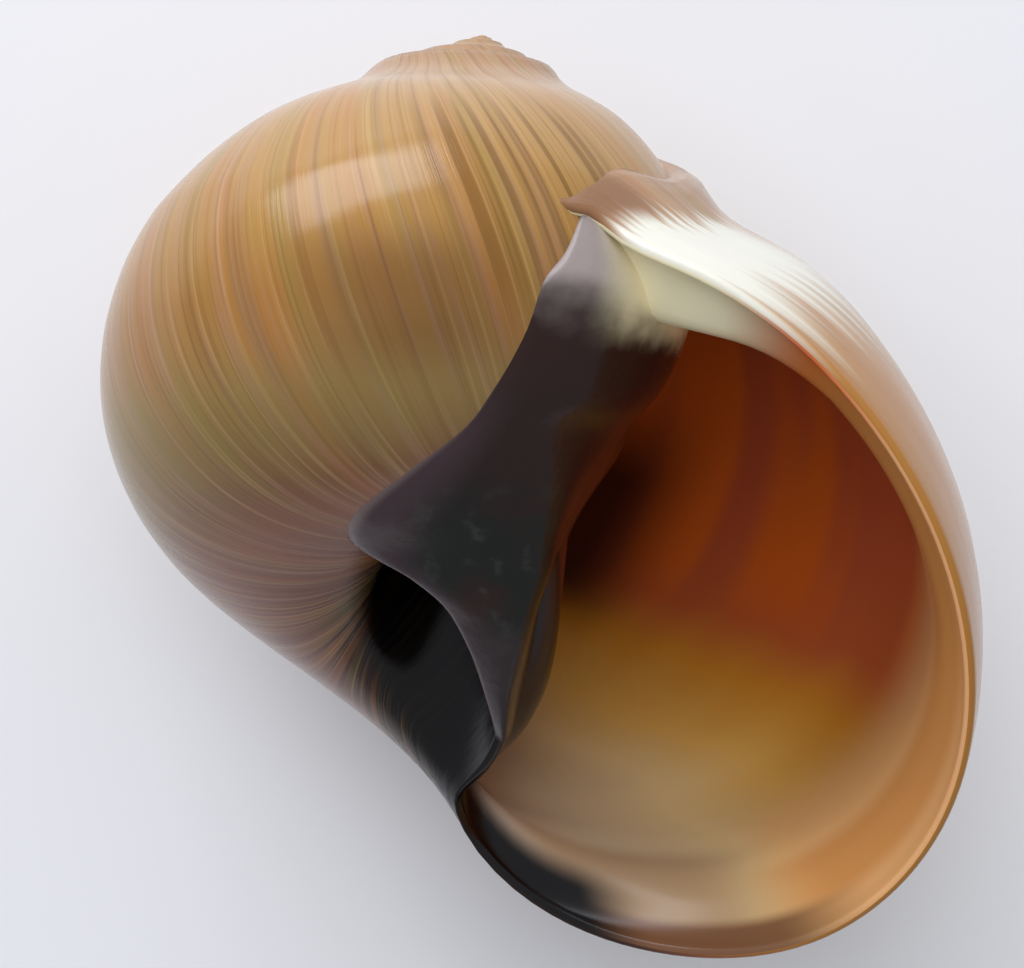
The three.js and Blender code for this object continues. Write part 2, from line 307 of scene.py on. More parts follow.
def grow_tree():
    tree = bpy.data.node_groups.new("grow_whorls", "GeometryNodeTree")
    tree.interface.new_socket("Geometry", in_out="OUTPUT", socket_type="NodeSocketGeometry")
    sockets = {}
    for name, kind in [
        ("Section", "Object"), ("Rings", "Object"), ("Columns", "Int"), ("Growth per turn", "Float"),
        ("Last drop", "Float"), ("Drop fade", "Float"), ("Lip edge", "Float"), ("Lip bevel", "Float"),
        ("Wall growth", "Float"), ("Apron", "Vector"), ("Shoulder", "Vector"), ("Ripple height", "Float"),
        ("Ripples per radian", "Float"),
        ("Outside", "Material"), ("Inside", "Material"),
    ]:
        sockets[name] = tree.interface.new_socket(name, in_out="INPUT", socket_type="NodeSocket" + kind)
    given = add(tree, "NodeGroupInput").outputs
    section = add(tree, "GeometryNodeObjectInfo", {"Object": given["Section"]}).outputs["Geometry"]
    section = add(tree, "GeometryNodeMeshToCurve", {"Mesh": section}).outputs["Curve"]
    rings = add(tree, "GeometryNodeObjectInfo", {"Object": given["Rings"]}).outputs["Geometry"]
    size_of = add(tree, "GeometryNodeAttributeDomainSize", {"Geometry": rings})
    count = size_of.outputs["Point Count"]
    grid = add(tree, "GeometryNodeMeshGrid", {
        "Size X": 1.0, "Size Y": 1.0, "Vertices X": count, "Vertices Y": given["Columns"],
    })

    # Which ring and which column this point of the grid is on.
    position = add(tree, "GeometryNodeInputPosition").outputs["Position"]
    xyz = add(tree, "ShaderNodeSeparateXYZ", {0: position}).outputs
    last = add(tree, "ShaderNodeMath", {0: count, 1: 1.0}, operation="SUBTRACT").outputs[0]
    row = add(tree, "ShaderNodeMapRange", {
        "Value": xyz["X"], "From Min": -HALF, "From Max": HALF, "To Max": last,
    })
    row = add(tree, "ShaderNodeMath", {0: row.outputs[0]}, operation="ROUND").outputs[0]
    ring = {}
    for key in ("age", "depth", "top", "foot"):
        named = add(tree, "GeometryNodeInputNamedAttribute", {"Name": key}).outputs["Attribute"]
        ring[key] = add(tree, "GeometryNodeSampleIndex", {
            "Geometry": rings, "Value": named, "Index": row,
        }).outputs["Value"]
    factor = add(tree, "ShaderNodeMapRange", {
        "Value": xyz["Y"], "From Min": -HALF, "From Max": HALF, "To Min": ring["top"], "To Max": ring["foot"],
    }).outputs[0]
    on_section = {}
    for key in ("place", "wall", "lip_angle", "apron", "shoulder", "ridge"):
        named = add(tree, "GeometryNodeInputNamedAttribute", {"Name": key}).outputs["Attribute"]
        sample = add(tree, "GeometryNodeSampleCurve", {
            "Curves": section, "Value": named, "Factor": factor,
        }, mode="FACTOR")
        on_section[key] = sample.outputs["Value"]

    # How much the shell has grown there, and how far the whorl has slipped down.
    growth = add(tree, "ShaderNodeMath", {0: ring["age"], 1: on_section["lip_angle"]}).outputs[0]
    turns = add(tree, "ShaderNodeMath", {0: growth, 1: TURN}, operation="DIVIDE").outputs[0]
    size = add(tree, "ShaderNodeMath", {0: given["Growth per turn"], 1: turns}, operation="POWER").outputs[0]
    late = add(tree, "ShaderNodeMath", {0: growth, 1: DROP_END}, operation="MINIMUM").outputs[0]
    late = add(tree, "ShaderNodeMath", {0: late, 1: given["Drop fade"]}, operation="MULTIPLY").outputs[0]
    late = add(tree, "ShaderNodeMath", {0: late}, operation="EXPONENT").outputs[0]
    drop = add(tree, "ShaderNodeMath", {0: late, 1: given["Last drop"]}, operation="MULTIPLY").outputs[0]

    # The wall: thin at the lip and in small whorls, raised by the ridge, nothing at the hidden edges.
    wall = add(tree, "ShaderNodeMath", {0: size, 1: given["Wall growth"]}, operation="POWER").outputs[0]
    wall = add(tree, "ShaderNodeMath", {0: wall, 1: on_section["wall"]}, operation="MULTIPLY").outputs[0]
    room = add(tree, "ShaderNodeMath", {0: size, 1: WALL_ROOM * MM}, operation="MULTIPLY").outputs[0]
    wall = add(tree, "ShaderNodeMath", {0: wall, 1: room}, operation="MINIMUM").outputs[0]
    wall = add(tree, "ShaderNodeMapRange", {
        "Value": ring["age"], "From Min": 0.0, "From Max": given["Lip bevel"],
        "To Min": given["Lip edge"], "To Max": wall,
    }, interpolation_type="SMOOTHSTEP").outputs[0]
    for low, high in RIDGE_STEPS:
        share = add(tree, "ShaderNodeMapRange", {"Value": ring["age"], "From Min": low, "From Max": high},
                    interpolation_type="SMOOTHSTEP").outputs[0]
        on_section["ridge"] = add(tree, "ShaderNodeMath", {0: on_section["ridge"], 1: share},
                                  operation="MULTIPLY").outputs[0]
    wall = add(tree, "ShaderNodeMath", {0: wall, 1: on_section["ridge"]}).outputs[0]
    to_edge = add(tree, "ShaderNodeMath", {0: xyz["Y"]}, operation="ABSOLUTE").outputs[0]
    fade = add(tree, "ShaderNodeMapRange", {
        "Value": to_edge, "From Min": HALF, "From Max": WALL_FROM,
    }).outputs[0]
    wall = add(tree, "ShaderNodeMath", {0: wall, 1: fade}, operation="MULTIPLY").outputs[0]
    depth = add(tree, "ShaderNodeMath", {0: wall, 1: ring["depth"]}, operation="MULTIPLY").outputs[0]

    # Low waves along the growth lines, on the outside only and none at the lip or the hidden edges.
    across = add(tree, "ShaderNodeMath", {
        0: ring["age"], 1: given["Ripples per radian"],
    }, operation="MULTIPLY")
    where = add(tree, "ShaderNodeCombineXYZ", {"X": across.outputs[0], "Y": on_section["place"]}).outputs[0]
    wave = add(tree, "ShaderNodeTexNoise", {"Vector": where, "Scale": 1.0, "Detail": 2.0, "Roughness": 0.6},
               noise_dimensions="2D")
    height = add(tree, "ShaderNodeMapRange", {
        "Value": wave.outputs[0], "From Min": RIPPLE_NOISE[0], "From Max": RIPPLE_NOISE[1],
        "To Min": 0.0, "To Max": given["Ripple height"],
    }).outputs[0]
    for value, low, high in (
        (ring["depth"], 1.0, 0.0), (ring["age"], 0.0, RIPPLE_FREE), (to_edge, HALF, RIPPLES_FROM),
    ):
        share = add(tree, "ShaderNodeMapRange", {
            "Value": value, "From Min": low, "From Max": high,
        }).outputs[0]
        height = add(tree, "ShaderNodeMath", {0: height, 1: share}, operation="MULTIPLY").outputs[0]
    height = add(tree, "ShaderNodeMath", {0: height, 1: size}, operation="MULTIPLY").outputs[0]
    depth = add(tree, "ShaderNodeMath", {0: depth, 1: height}, operation="SUBTRACT").outputs[0]

    # Let the outline's point slip and climb, scale it, move it into the wall and turn it about the axis.
    down = add(tree, "ShaderNodeCombineXYZ", {"Z": drop}).outputs[0]
    point = add(tree, "ShaderNodeVectorMath", {0: sample.outputs["Position"], 1: down}, operation="SUBTRACT")
    for climb, steps in (("Apron", APRON_STEPS), ("Shoulder", SHOULDER_STEPS)):
        share = on_section[climb.lower()]
        for low, high, least in steps:
            step = add(tree, "ShaderNodeMapRange", {
                "Value": growth, "From Min": low, "From Max": high, "To Min": least,
            }, interpolation_type="SMOOTHSTEP").outputs[0]
            share = add(tree, "ShaderNodeMath", {0: share, 1: step}, operation="MULTIPLY").outputs[0]
        moved = add(tree, "ShaderNodeVectorMath", {0: given[climb], "Scale": share}, operation="SCALE")
        point = add(tree, "ShaderNodeVectorMath", {0: point.outputs[0], 1: moved.outputs[0]})
    point = add(tree, "ShaderNodeVectorMath", {0: point.outputs[0], "Scale": size}, operation="SCALE")
    square = add(tree, "ShaderNodeVectorMath", {0: (0, 1, 0), 1: sample.outputs["Tangent"]},
                 operation="CROSS_PRODUCT")
    square = add(tree, "ShaderNodeVectorMath", {0: square.outputs[0], "Scale": depth}, operation="SCALE")
    point = add(tree, "ShaderNodeVectorMath", {0: point.outputs[0], 1: square.outputs[0]})
    back = add(tree, "ShaderNodeMath", {0: growth, 1: -1.0}, operation="MULTIPLY").outputs[0]
    point = add(tree, "ShaderNodeVectorRotate", {"Vector": point.outputs[0], "Angle": back},
                rotation_type="Z_AXIS").outputs[0]

    # What the colours need is stored while the grid is still flat. Then one closed, smooth surface.
    made = grid.outputs["Mesh"]
    for key, value in (("age", ring["age"]), ("depth", ring["depth"]), ("place", on_section["place"])):
        made = add(tree, "GeometryNodeStoreNamedAttribute", {"Geometry": made, "Name": key, "Value": value})
        made = made.outputs[0]
    made = add(tree, "GeometryNodeSetPosition", {"Geometry": made, "Position": point}).outputs[0]
    made = add(tree, "GeometryNodeMergeByDistance", {
        "Geometry": made, "Distance": SAME_POINT * MM,
    }).outputs[0]
    made = add(tree, "GeometryNodeSetShadeSmooth", {"Geometry": made}).outputs[0]
    made = add(tree, "GeometryNodeRealizeInstances", {"Geometry": made}).outputs[0]
    made = add(tree, "GeometryNodeSetMaterial", {"Geometry": made, "Material": given["Outside"]}).outputs[0]
    named = add(tree, "GeometryNodeInputNamedAttribute", {"Name": "depth"}).outputs["Attribute"]
    is_inside = add(tree, "FunctionNodeCompare", {0: named, 1: HALF}, operation="GREATER_THAN").outputs[0]
    made = add(tree, "GeometryNodeSetMaterial", {
        "Geometry": made, "Selection": is_inside, "Material": given["Inside"],
    }).outputs[0]
    add(tree, "NodeGroupOutput", {"Geometry": made})
    return tree, sockets


# %% [markdown]
# ## Painting in the shell's own coordinates
#
# A snail lays its pigment down at the lip, so every band and every line of colour follows the growth.
# They could be drawn by hand on an unwrapped map. Here a colour is laid over another one inside limits
# of age and place instead, so it stays in step with the shape when a dimension changes.

# %% Paint in shell coordinates
def paint(tree, under, colour, limits, strength=1.0):
    """A colour laid over another inside limits, each (value, where it is 0, where it is 1)."""
    share = strength
    for value, low, high in limits:
        edge = add(tree, "ShaderNodeMapRange", {"Value": value, "From Min": low, "From Max": high},
                   interpolation_type="SMOOTHSTEP").outputs[0]
        share = add(tree, "ShaderNodeMath", {0: edge, 1: share}, operation="MULTIPLY").outputs[0]
    return add(tree, "ShaderNodeMix", {0: share, 6: under, 7: linear(colour)}, data_type="RGBA").outputs[2]


def shell_coordinates(tree):
    """The age in degrees of growth and the place on the whorl's outline."""
    age = add(tree, "ShaderNodeAttribute", attribute_name="age").outputs["Fac"]
    age = add(tree, "ShaderNodeMath", {0: age, 1: math.degrees(1)}, operation="MULTIPLY").outputs[0]
    place = add(tree, "ShaderNodeAttribute", attribute_name="place").outputs["Fac"]
    return age, place


def growth_noise(tree, age, place, lines_apart, stretch, detail=2.0, shift=0.0):
    """Noise in lines this many degrees of growth apart, which waver with the place."""
    across = add(tree, "ShaderNodeMath", {0: age, 1: 1 / lines_apart}, operation="MULTIPLY").outputs[0]
    down = add(tree, "ShaderNodeMath", {0: place, 1: stretch, 2: shift}, operation="MULTIPLY_ADD").outputs[0]
    where = add(tree, "ShaderNodeCombineXYZ", {"X": across, "Y": down}).outputs[0]
    return add(tree, "ShaderNodeTexNoise", {"Vector": where, "Scale": 1.0, "Detail": detail},
               noise_dimensions="2D").outputs[0]


def by_place(tree, place, stops):
    """A colour that follows the place, from (place, colour) pairs."""
    part = add(tree, "ShaderNodeMath", {0: place, 1: 1 / LAST_PLACE}, operation="MULTIPLY").outputs[0]
    return add(tree, "ShaderNodeValToRGB", {"Fac": part},
               stops=[(at / LAST_PLACE, colour) for at, colour in stops]).outputs[0]


def new_material(name, roughness, ior):
    """An empty material: its tree, its surface shader, and its name and fixed gloss."""
    made = bpy.data.materials.new(name)
    made.use_nodes = True
    tree = made.node_tree
    shader = tree.nodes["Principled BSDF"]
    shader.inputs["Roughness"].default_value = roughness
    shader.inputs["IOR"].default_value = ior
    return made, tree, shader


degree_length = math.radians(1) * outline_point(4)[0]
print("one degree of growth is", round(degree_length, 2), "mm long at the widest place")

# %% [markdown]
# ## The outside: worn, polished shell
#
# Aragonite with a thin brown skin, rubbed to a gloss by the sand. The eye sees a sharp reflection over
# a warm tan, and hundreds of growth lines in mauve, orange and olive. A colour for each place round the
# whorl comes first, then stripes from broad to fine, each one noise that reads the age of the shell and
# is stretched out along the place, and then a few patches: some that this shell has of its own, and
# painted shade beside the callus, in the navel and on the whorl above inside the mouth.

# %% Polished outside
LAST_PLACE = 12            # the colour ramps run over this many pull points
OUTSIDE_BY_PLACE = [
    (0.0, "#A98462"), (1.6, "#BE9E78"), (2.4, "#B78F58"), (3.2, "#AE8344"),
    (3.7, "#A27538"), (4.4, "#A07C48"), (5.4, "#85603C"), (6.0, "#824F31"),
    # The navel stops at 7.8 and 8.5 are near black: the navel's own dark colour with painted shade of the
    # hollow.
    (6.8, "#5C3324"), (7.2, "#442B20"), (7.8, "#140D0B"), (8.5, "#060505"),
]
OUTSIDE_STRIPES = [        # degrees apart, stretch, noise from, noise to, colour, strength
    (12, 0.30, 0.48, 0.72, "#B06A32", 0.35),
    (7.0, 0.35, 0.50, 0.72, "#8A7C3C", 0.28),
    (3.4, 0.30, 0.52, 0.72, "#AC8270", 0.28),
    (2.4, 0.25, 0.54, 0.72, "#744720", 0.26),
    (1.3, 0.20, 0.54, 0.72, "#D2AC78", 0.26),
    (0.8, 0.20, 0.58, 0.74, "#5E3A22", 0.22),
]


def polished_outside():
    made, tree, shader = new_material("polished_aragonite", roughness=0.17, ior=1.5)
    shader.inputs["Specular IOR Level"].default_value = 0.4
    age, place = shell_coordinates(tree)
    colour = by_place(tree, place, OUTSIDE_BY_PLACE)
    for apart, stretch, low, high, stripe, strength in OUTSIDE_STRIPES:
        lines = growth_noise(tree, age, place, apart, stretch, shift=apart)
        colour = paint(tree, colour, stripe, [(lines, low, high)], strength)
    # A duller belt round the whorl, a rosy one under it, and painted shade beside the callus: a darker brown
    # where less light falls.
    colour = paint(tree, colour, "#8A7C40", [(place, 4.0, 4.5), (place, 5.4, 4.8)], 0.3)
    colour = paint(tree, colour, "#834A36", [(place, 5.2, 6.0), (place, 7.4, 6.8)], 0.4)
    colour = paint(tree, colour, "#55310F", [(age, -262, -284), (age, -312, -294), (place, 3.1, 3.6),
                                             (place, 4.7, 4.0)], 0.45)
    # Rest marks: stronger olive and brown lines a little before the whorl meets the callus.
    bold = growth_noise(tree, age, place, 2.6, 0.1, 2.0, 5.0)
    colour = paint(tree, colour, "#6B4812", [(bold, 0.46, 0.66), (age, -292, -306), (age, -356, -338),
                                             (place, 1.9, 2.5), (place, 4.3, 3.3)], 0.55)
    # The last growth is paler, white beside the suture, brown in the corner and stained at the navel.
    colour = paint(tree, colour, "#B4762C", [(age, -34, -14), (place, 2.0, 2.6), (place, 6.4, 5.4)], 0.75)
    ragged = growth_noise(tree, age, place, 1.6, 0.2, 2.0, 2.0)
    ragged = add(tree, "ShaderNodeMath", {0: ragged, 1: 0.8, 2: place}, operation="MULTIPLY_ADD").outputs[0]
    colour = paint(tree, colour, "#E6E4D4", [(ragged, 1.15, 1.5), (ragged, 2.75, 2.15), (age, -46, -26)])
    colour = paint(tree, colour, "#8A6040", [(place, 1.05, 0.75), (age, -18, -9)], 0.9)
    colour = paint(tree, colour, "#170D0C", [(place, 5.9, 6.7), (age, -52, -18)], 0.95)
    # Painted shade: the navel is painted near black, its own dark colour deepened as shade in the hollow.
    colour = paint(tree, colour, "#070505", [(place, 7.1, 8.1)], 0.96)
    # Painted shade: what the whorl above shows inside the mouth is painted dark.
    colour = paint(tree, colour, "#27150F", [(age, -362, -374), (place, 2.7, 3.1)], 0.97)
    tree.links.new(colour, shader.inputs["Base Color"])
    # The finest growth lines can only be felt: 0.04 mm of relief, 0.6 of a degree apart.
    relief = growth_noise(tree, age, place, 0.6, 0.15, 3.0)
    bump = add(tree, "ShaderNodeBump", {"Height": relief, "Strength": 0.3, "Distance": 0.04 * MM}).outputs[0]
    tree.links.new(bump, shader.inputs["Normal"])
    return made


outside_finish = polished_outside()
print(outside_finish.name, "has", len(outside_finish.node_tree.nodes), "nodes")

# %% [markdown]
# ## The inside: smooth enamel
#
# The mantle lays a smooth enamel inside the mouth: red-brown in the throat with soft orange streaks,
# golden and then cream where it comes to the base, and tan beside the lip. The enamel's colours are
# set by place and age too. They are bright, because little light gets this far in. Painted shade
# darkens the throat behind the callus, and a painted highlight runs just inside the lip at the base.

# %% Inside enamel
INSIDE_BY_PLACE = [
    (0.0, "#C9BB8C"), (1.6, "#C05A34"), (2.4, "#CE5E38"), (3.4, "#D0603A"),
    (4.0, "#CC6436"), (4.4, "#DC9230"), (5.0, "#EAB45C"), (5.6, "#E9C98E"),
    (6.3, "#CBB391"), (7.0, "#A8907A"), (7.6, "#5C4136"), (8.6, "#2C1A14"),
]


def enamel_inside():
    made, tree, shader = new_material("inner_enamel", roughness=0.25, ior=1.5)
    age, place = shell_coordinates(tree)
    waver = growth_noise(tree, age, place, 22, 0.5, 2.0, 3.0)
    wavy = add(tree, "ShaderNodeMath", {0: waver, 1: 0.5, 2: place}, operation="MULTIPLY_ADD").outputs[0]
    wavy = add(tree, "ShaderNodeMath", {0: wavy, 1: 0.25}, operation="SUBTRACT").outputs[0]
    colour = by_place(tree, wavy, INSIDE_BY_PLACE)
    streak = growth_noise(tree, age, place, 17, 0.2, 1.0)
    colour = paint(tree, colour, "#F0721C", [(streak, 0.46, 0.66), (wavy, 4.2, 3.6), (wavy, 1.8, 2.6)], 0.75)
    # Painted shade: a near-black patch in the throat behind the callus. Deeper in, the throat is painted dark
    # brown.
    colour = paint(tree, colour, "#20110C", [(age, -76, -92), (place, 2.7, 3.4), (wavy, 4.7, 4.1)], 0.9)
    colour = paint(tree, colour, "#3A2010", [(age, -95, -140)], 0.9)
    # The band beside the lip: pale tan, then orange-brown, then the pale rim.
    colour = paint(tree, colour, "#E8AE74", [(age, -34, -17), (place, 2.2, 2.8), (place, 5.8, 5.0)], 0.9)
    colour = paint(tree, colour, "#CF8A48", [(age, -13, -9), (age, -2, -5), (place, 1.9, 2.5),
                                             (place, 5.8, 5.0)], 0.8)
    colour = paint(tree, colour, "#FBF1C8", [(age, -46, -30), (place, 2.3, 1.7)])
    # Painted highlight: a pale tan band just inside the lip at the base stands in for the gloss line along
    # it.
    colour = paint(tree, colour, "#A5835F", [(age, -22, -14), (place, 5.2, 6.0), (place, 7.2, 6.7)], 0.8)
    colour = paint(tree, colour, "#744A30", [(age, -5, -3), (place, 4.8, 5.6)], 0.9)
    colour = paint(tree, colour, "#080606", [(age, -12, -6), (place, 6.3, 6.7)])
    colour = paint(tree, colour, "#2B1914", [(place, 7.6, 8.4)], 0.9)
    tree.links.new(colour, shader.inputs["Base Color"])
    return made


inside_finish = enamel_inside()
print(inside_finish.name, "has", len(inside_finish.node_tree.nodes), "nodes")

# %% [markdown]
# ## Laying the shell down
#
# The shell lies on its back with the mouth up, on a worn spot that is just large enough to hold it
# there. The grown mesh is turned into that pose, moved so that the spot is at the origin, and its
# lowest millimetre is pressed flat, as wear on the sand would do.

# %% Grow the whorls, lay them down and wear the spot
REST_SPIN = -26            # degrees about the coiling axis
REST_PITCH = -3            # degrees: base nearer the table than the apex
REST_ROLL = 5.5            # degrees: leaned to the right
COLUMNS = 118              # grid columns round the whorl
RIPPLE_HEIGHT = 0.035      # millimetres that the low waves along the growth lines stand out
RIPPLES_PER_RADIAN = 14.0
APEX_PLACE = Vector((-0.46, 21.64, 18.1)) * MM
lay = Matrix.Translation(APEX_PLACE)
for angle, axis in ((-90, "X"), (REST_ROLL, "Y"), (REST_PITCH, "X"), (REST_SPIN, "Z")):
    lay = lay @ Matrix.Rotation(math.radians(angle), 4, axis)


def lay_down(mesh):
    """Turns a mesh from the growing frame to the resting pose and wears its lowest part flat."""
    mesh.transform(lay)
    for vertex in mesh.vertices:
        vertex.co.z = max(vertex.co.z, 0)
    mesh.update()


def face_outwards(mesh):
    """Turns every face round if the closed mesh has a negative volume."""
    corners = [mesh.vertices[i].co for triangle in mesh.loop_triangles for i in triangle.vertices]
    corners = np.array(corners).reshape(-1, 3, 3)
    volume = np.einsum("ij,ij->i", corners[:, 0], np.cross(corners[:, 1], corners[:, 2])).sum() / 6
    if volume < 0:
        mesh.flip_normals()
    return abs(volume) / MM ** 3


def grow_whorls():
    tree, sockets = grow_tree()
    host = bpy.data.objects.new("whorl_host", bpy.data.meshes.new("whorl_host"))
    bpy.context.scene.collection.objects.link(host)
    grow = host.modifiers.new("grow", "NODES")
    grow.node_group = tree
    for name, value in {
        "Section": section_guide, "Rings": ring_guide, "Columns": COLUMNS, "Growth per turn": GROWTH_PER_TURN,
        "Last drop": LAST_DROP * MM, "Drop fade": DROP_FADE, "Lip edge": LIP_EDGE * MM,
        "Lip bevel": -math.radians(LIP_BEVEL), "Wall growth": WALL_GROWTH,
        "Apron": (APRON[0] * MM, 0.0, APRON[1] * MM), "Shoulder": (SHOULDER[0] * MM, 0.0, SHOULDER[1] * MM),
        "Ripple height": RIPPLE_HEIGHT * MM, "Ripples per radian": RIPPLES_PER_RADIAN,
        "Outside": outside_finish, "Inside": inside_finish,
    }.items():
        grow[sockets[name].identifier] = value
    graph = bpy.context.evaluated_depsgraph_get()
    mesh = bpy.data.meshes.new_from_object(host.evaluated_get(graph), depsgraph=graph)
    mesh.name = "whorls"
    for done in (host, section_guide, ring_guide):
        bpy.data.objects.remove(done)
    lay_down(mesh)
    mesh.calc_loop_triangles()
    volume = face_outwards(mesh)
    print("whorls:", len(mesh.loop_triangles), "triangles,", round(volume), "cubic mm")
    made = bpy.data.objects.new("whorls", mesh)
    bpy.context.scene.collection.objects.link(made)
    return made


whorls = grow_whorls()

# %% [markdown]
# ## The callus
#
# A moon snail pours a thick glaze of callus over the wall beside its mouth, from the suture down to
# the foot of the inner lip, and a lobe of it hangs over the navel. It is laid on, not grown with the
# whorl, so it is a piece of its own: four rails run down it, from the outer rim over the crest into
# the throat, a smooth surface is stretched through them, and the surface gets a thickness with a
# rounded rim that dives into the whorl.

# %% Rails of the callus
CALLUS = [                 # 'on' the whorl above: degrees, place, lift; 'at': degrees, radius, height
    [("on", -320.4, 3.16, 0.1), ("on", -326, 3.2, 0.3), ("on", -345, 3.2, 0.3), ("on", -380, 3.1, 0.1)],
    [("on", -316.5, 3.44, 0.1), ("on", -328, 3.55, 0.8), ("on", -350, 3.6, 0.7), ("on", -385, 3.6, 0.2)],
    [("on", -311.6, 3.73, 0.15), ("on", -328, 3.9, 1.0), ("on", -352, 4.0, 0.7), ("on", -385, 4.0, 0.2)],
    [("on", -306.7, 4.43, 0.2), ("on", -327.5, 4.6, 1.2), ("on", -352, 4.7, 0.8), ("on", -384, 4.6, 0.2)],
    [("on", -301.5, 4.98, 0.3), ("at", 36, 11.3, -19.4), ("on", -349, 5.3, 0.8), ("on", -380, 5.2, 0.2)],
    [("on", -290.5, 5.45, 0.4), ("at", 34.5, 10.2, -21.5), ("at", 11, 8.8, -21.1), ("at", -20, 8.4, -19.5)],
    [("on", -275, 5.93, 0.5), ("at", 33, 9.0, -23.9), ("at", 9, 7.4, -23.5), ("at", -22, 7.0, -22.0)],
    [("on", -264.5, 6.36, 0.6), ("at", 31, 8.3, -25.6), ("at", 6, 6.7, -24.8), ("at", -26, 6.2, -24.0)],
    [("at", 78, 5.9, -26.3), ("at", 28, 7.5, -27.4), ("at", 2, 6.0, -26.4), ("at", -30, 5.6, -26.0)],
    [("at", 58, 5.0, -27.5), ("at", 24, 6.8, -28.8), ("at", -4, 5.6, -27.9), ("at", -34, 5.2, -27.6)],
    [("at", 37, 4.4, -29.5), ("at", 18, 6.0, -30.1), ("at", -10, 5.3, -29.3), ("at", -38, 4.9, -29.0)],
    [("at", 11, 3.9, -31.7), ("at", 8, 5.1, -31.6), ("at", -20, 4.9, -31.0), ("at", -42, 4.7, -30.6)],
    [("at", -15, 3.8, -33.3), ("at", -6, 4.5, -33.4), ("at", -30, 4.6, -32.7), ("at", -48, 4.6, -32.0)],
]
CALLUS_THICKNESS = (0.8, 1.8, 1.8, 0.8)    # millimetres at the four rails
CALLUS_TAPER = ((0, 1), (0.75, 1), (0.92, 0.35), (1, 0.12))     # how far down, share of the thickness
RIM_ROUND = 0.07           # share of the width over which the rim rounds down ...
RIM_DIVE = 0.7             # ... by this many millimetres ...
RIM_LEAST = 0.05           # ... and is still this thick


def rail_point(kind, degrees, *rest):
    angle = math.radians(degrees)
    if kind == "on":
        place, lift = rest
        size = math.exp(GROWTH_RATE * angle)
        return grown_point(angle, *(outline_point(place)[:2] - inward(place) * lift / size))
    radius, height = rest
    return np.array((radius * math.cos(angle), -radius * math.sin(angle), height))


def smooth_through(points, count):
    """Points on a Catmull-Rom curve through the given ones."""
    points = np.array(points, dtype=float)
    held = np.concatenate([[2 * points[0] - points[1]], points, [2 * points[-1] - points[-2]]])
    made = []
    for t in np.linspace(0, len(points) - 1, count):
        i = min(int(t), len(points) - 2)
        f = t - i
        a, b, c, d = held[i:i + 4]
        made.append(0.5 * (2 * b + (c - a) * f + (2 * a - 5 * b + 4 * c - d) * f ** 2
                           + (3 * b - a - 3 * c + d) * f ** 3))
    return np.array(made)


# %% [markdown]
# ## The callus' glaze
#
# Thick enamel, near black with grey clouds over the navel, brown beside the throat, and cream at its
# top, where it is newest, with a painted lilac-white sheen beside the cream. The clouds and the small
# pits are noise in real millimetres, because the glaze was poured over the growth lines and doesn't
# follow them.

# %% Callus finish
GLAZE_GRAINS = (5.0, 1.2, 0.35)      # millimetres across: clouds, mottling and pits


def callus_glaze():
    made, tree, shader = new_material("callus_glaze", roughness=0.24, ior=1.5)
    shader.inputs["Specular IOR Level"].default_value = 0.35
    across = add(tree, "ShaderNodeAttribute", attribute_name="across").outputs["Fac"]
    down = add(tree, "ShaderNodeAttribute", attribute_name="down").outputs["Fac"]
    spot = add(tree, "ShaderNodeTexCoord").outputs["Object"]
    clouds, mottle, pits = [
        add(tree, "ShaderNodeTexNoise", {"Vector": spot, "Scale": 1 / (size * MM), "Detail": 4.0}).outputs[0]
        for size in GLAZE_GRAINS
    ]
    ragged = add(tree, "ShaderNodeMath", {0: clouds, 1: 0.12, 2: down}, operation="MULTIPLY_ADD").outputs[0]
    colour = paint(tree, linear("#2C1A15"), "#191B17", [(clouds, 0.35, 0.6), (down, 0.35, 0.5)])
    colour = paint(tree, colour, "#3C403A", [(mottle, 0.52, 0.72), (down, 0.4, 0.5), (across, 0.6, 0.3)], 0.6)
    colour = paint(tree, colour, "#33282A", [(down, 0.66, 0.8)], 0.8)
    colour = paint(tree, colour, "#2C1A16", [(across, 0.55, 0.75), (down, 0.2, 0.3)], 0.8)
    colour = paint(tree, colour, "#46353A", [(across, 0.16, 0.05), (down, 0.22, 0.4)], 0.8)
    colour = paint(tree, colour, "#7D6B68", [(across, 0.035, 0.01)], 0.8)
    # Painted sheen: a lilac-white patch at the top of the callus, on its outer side.
    colour = paint(tree, colour, "#9C908B", [(across, 0.6, 0.25), (ragged, 0.25, 0.18)])
    colour = paint(tree, colour, "#FBEFC2", [(across, 0.2, 0.5), (ragged, 0.27, 0.21)])
    tree.links.new(colour, shader.inputs["Base Color"])
    bump = add(tree, "ShaderNodeBump", {"Height": mottle, "Strength": 0.35, "Distance": 0.12 * MM}).outputs[0]
    bump = add(tree, "ShaderNodeBump", {"Height": pits, "Strength": 0.3, "Distance": 0.05 * MM,
                                        "Normal": bump}).outputs[0]
    tree.links.new(bump, shader.inputs["Normal"])
    return made


# %% [markdown]
# ## Pouring the callus
#
# The four rails are made smooth, a smooth line is drawn across them at each row, and a second sheet
# lies under the first by the thickness. The edges are closed with a strip of faces all the way round.

